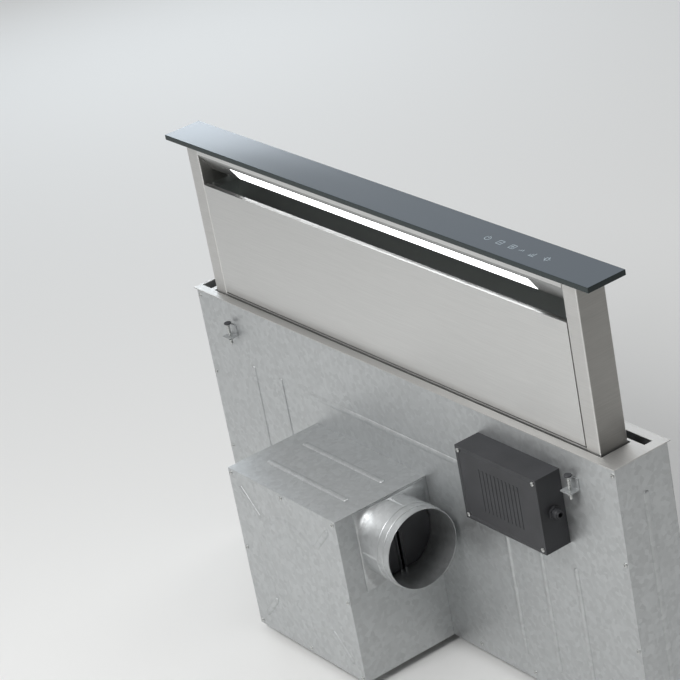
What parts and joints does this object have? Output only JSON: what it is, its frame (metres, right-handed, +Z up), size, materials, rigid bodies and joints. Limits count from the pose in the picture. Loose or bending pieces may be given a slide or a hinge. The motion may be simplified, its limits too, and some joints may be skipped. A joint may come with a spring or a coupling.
{
  "type": "downdraft vent",
  "caption": "Downdraft extractor that rises out of a worktop: glass lid, suction slot with a light strip, tilting front panel, grease filters, screw lift, housing, blower and duct collar.",
  "frame": {"origin": "middle of the strip by which the frame's front border rests on the worktop, on the worktop's surface", "axes": "+X along the length to the right, +Y away from the user, +Z up"},
  "size_m": [1.21, 0.3386, 0.8515],
  "materials": {
    "stainless": "brushed along the length",
    "dark_stainless": "satin, in the shade of the slot",
    "galvanised": "zinc coated sheet",
    "motor_grey": "satin dark grey",
    "lid_glass": "polished, back printed in slate grey",
    "black_plastic": "fine matte",
    "diffuser_white": "opal",
    "board_green": "satin",
    "rubber_black": "matte",
    "bronze": "machined",
    "alloy": "mill finish",
    "bright_steel": "ground"
  },
  "bodies": {
    "housing": {"worktop_frame": "stainless", "opening_seal": "rubber_black", "housing_front": "galvanised", "housing_rear": "galvanised", "housing_end_left": "galvanised", "housing_end_right": "galvanised", "housing_tray": "galvanised", "worktop_clamps": "galvanised", "clamp_screws": "bright_steel", "levelling_feet": "black_plastic", "housing_screws": "bright_steel", "guide_rail_left": "alloy", "guide_rail_right": "alloy", "screw_bearings": "motor_grey", "long_belt": "rubber_black", "short_belt": "rubber_black", "lift_motor": "motor_grey", "motor_bracket": "galvanised", "position_sensors": "black_plastic", "blower_box": "galvanised", "blower_cover": "galvanised", "blower_scroll": "galvanised", "inlet_ring": "alloy", "blower_motor": "motor_grey", "outlet_collar": "galvanised", "damper_pins": "bright_steel", "control_box": "black_plastic", "control_cover": "black_plastic", "cable_gland": "black_plastic"},
    "tower": {"glass_lid": "lid_glass", "lid_carrier": "stainless", "light_board": "board_green", "light_diffuser": "diffuser_white", "touch_board": "board_green", "column_left": "stainless", "column_right": "stainless", "air_guides": "dark_stainless", "tower_rear_panel": "stainless", "lower_beam": "stainless", "filter_rails": "dark_stainless", "grease_filters": "alloy", "lift_carriages": "alloy", "lead_nuts": "bronze", "guide_shoes": "black_plastic", "sensor_magnets": "motor_grey", "hinge_bushes": "black_plastic", "panel_catches": "black_plastic"},
    "front_panel": {"front_panel": "stainless", "hinge_pins": "bright_steel", "strike_plates": "bright_steel"},
    "left_screw": {"lead_screw_left": "bright_steel", "screw_pulley_left": "alloy"},
    "right_screw": {"lead_screw_right": "bright_steel", "screw_pulley_right": "alloy"},
    "motor_drive": {"motor_shaft": "bright_steel", "motor_pulley": "alloy"},
    "blower_wheel": {"impeller": "black_plastic", "blower_shaft": "bright_steel"},
    "front_flap": {"damper_flap_front": "black_plastic"},
    "rear_flap": {"damper_flap_rear": "black_plastic"}
  },
  "joints": [
    {"name": "tower_lift", "type": "slide", "parent": "housing", "child": "tower", "axis": [0, 0, 1], "range_m": [-0.304, 0]},
    {"name": "front_panel_tilt", "type": "hinge", "parent": "tower", "child": "front_panel", "pos_m": [0, 0.0222, 0.014], "axis": [1, 0, 0], "range_deg": [0, 45]},
    {"name": "left_screw_turn", "type": "hinge", "parent": "housing", "child": "left_screw", "pos_m": [-0.577, 0.046, -0.25], "axis": [0, 0, 1], "range_deg": [0, 10950]},
    {"name": "right_screw_turn", "type": "hinge", "parent": "housing", "child": "right_screw", "pos_m": [0.577, 0.046, -0.25], "axis": [0, 0, 1], "range_deg": [0, 10950]},
    {"name": "motor_turn", "type": "hinge", "parent": "housing", "child": "motor_drive", "pos_m": [-0.5, 0.046, -0.509], "axis": [0, 0, 1], "range_deg": [0, 16425]},
    {"name": "blower_spin", "type": "hinge", "parent": "housing", "child": "blower_wheel", "pos_m": [-0.1, -0.083, -0.355], "axis": [0, 1, 0], "continuous": true},
    {"name": "front_flap_swing", "type": "hinge", "parent": "housing", "child": "front_flap", "pos_m": [0.073, -0.088, -0.27], "axis": [0, 0, 1], "range_deg": [0, 75], "stiffness_Nm_per_rad": 0.02, "springref_deg": -11.46},
    {"name": "rear_flap_swing", "type": "hinge", "parent": "housing", "child": "rear_flap", "pos_m": [0.073, -0.078, -0.27], "axis": [0, 0, -1], "range_deg": [0, 75], "stiffness_Nm_per_rad": 0.02, "springref_deg": -11.46}
  ],
  "couplings": [
    {"joint": "left_screw_turn", "follows": "tower_lift", "rad_per_m": -628.32},
    {"joint": "right_screw_turn", "follows": "tower_lift", "rad_per_m": -628.32},
    {"joint": "motor_turn", "follows": "tower_lift", "rad_per_m": -942.48}
  ]
}
